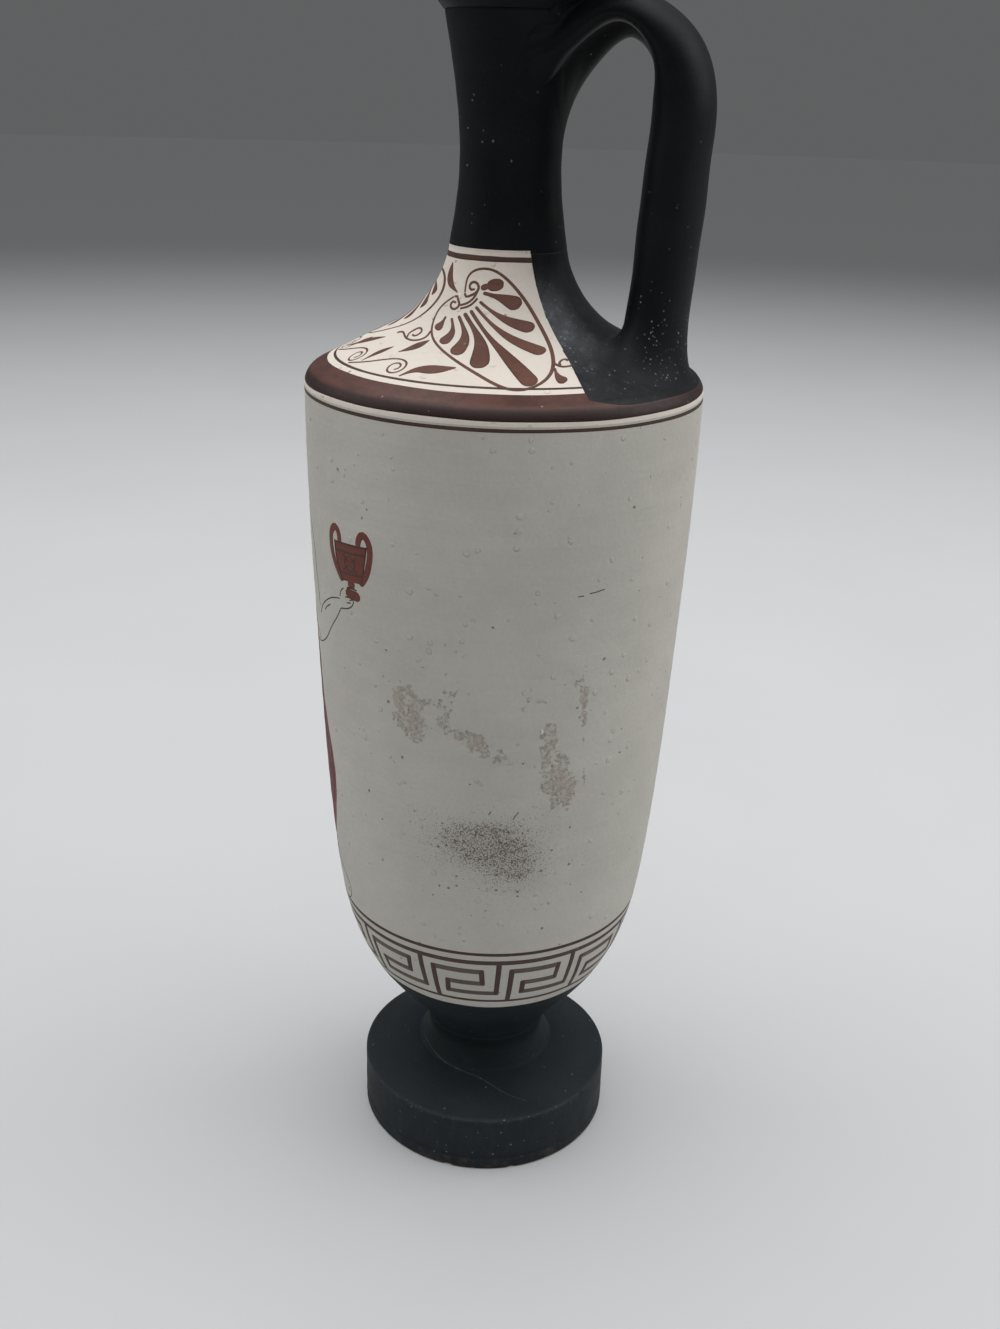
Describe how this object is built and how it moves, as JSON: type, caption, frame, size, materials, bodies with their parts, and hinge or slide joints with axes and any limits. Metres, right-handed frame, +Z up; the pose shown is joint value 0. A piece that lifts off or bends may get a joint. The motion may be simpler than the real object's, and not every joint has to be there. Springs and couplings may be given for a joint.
{
  "type": "lekythos",
  "caption": "Tall slender oil jar with a near-cylindrical body on a disc foot, a sloping shoulder, a narrow neck, a calyx mouth and one strap handle.",
  "frame": {"origin": "centre of the resting ring under the foot, on the surface that the jar stands on", "axes": "+Z up along the jar's axis, +Y towards the handle, -Y towards the figure on the front"},
  "size_m": [0.1006, 0.1006, 0.3436],
  "materials": {
    "white_ground": "matte",
    "black_coat": "satin",
    "luting_slip": "matte"
  },
  "bodies": {
    "root": {"foot": "black_coat", "foot_luting": "luting_slip", "body": "white_ground", "shoulder_luting": "luting_slip", "shoulder": "white_ground", "neck_luting": "luting_slip", "neck": "black_coat", "mouth_luting": "luting_slip", "mouth": "black_coat", "handle": "black_coat", "handle_top_luting": "luting_slip", "handle_root_luting": "luting_slip"}
  },
  "joints": []
}
